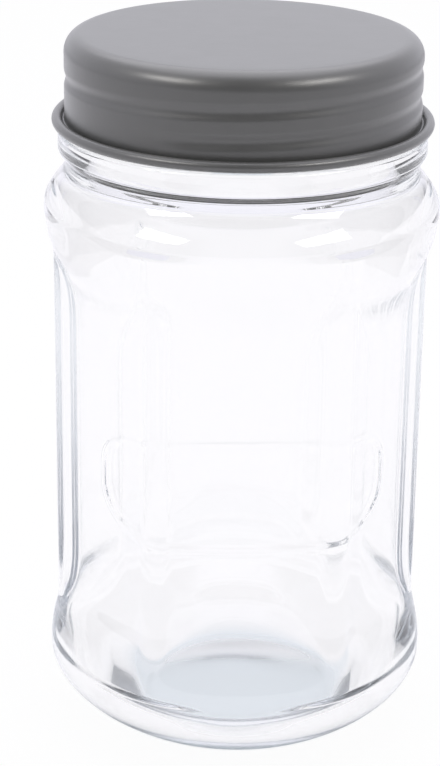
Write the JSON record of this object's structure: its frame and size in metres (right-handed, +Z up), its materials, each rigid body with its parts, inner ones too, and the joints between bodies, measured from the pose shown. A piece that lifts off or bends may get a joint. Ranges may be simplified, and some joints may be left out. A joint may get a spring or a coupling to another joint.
{
  "type": "glass storage jar",
  "caption": "Clear glass storage jar with flat panels, rounded heel and shoulder, a raised oval frame on the front and a grey screw lid over a wide threaded mouth.",
  "frame": {"origin": "centre of the base's bearing ring, on the table", "axes": "+Z up along the jar's axis, the front with the oval frame faces -Y, +X to the right of it"},
  "size_m": [0.095, 0.095, 0.175],
  "materials": {
    "clear_glass": "clear, polished",
    "lid_paint": "satin grey paint",
    "liner": "soft, matte"
  },
  "bodies": {
    "jar": {"glass_jar": "clear_glass"},
    "liner": {"lid_liner": "liner"},
    "lid": {"screw_lid": "lid_paint"}
  },
  "joints": [
    {"name": "lid_rise", "type": "slide", "parent": "jar", "child": "liner", "axis": [0, 0, 1], "range_m": [0, 0.0273]},
    {"name": "lid_turn", "type": "hinge", "parent": "liner", "child": "lid", "pos_m": [0, 0, 0.165], "axis": [0, 0, 1], "range_deg": [0, 1440]}
  ],
  "couplings": [
    {"joint": "lid_rise", "follows": "lid_turn", "m_per_rad": 0.0010823}
  ]
}
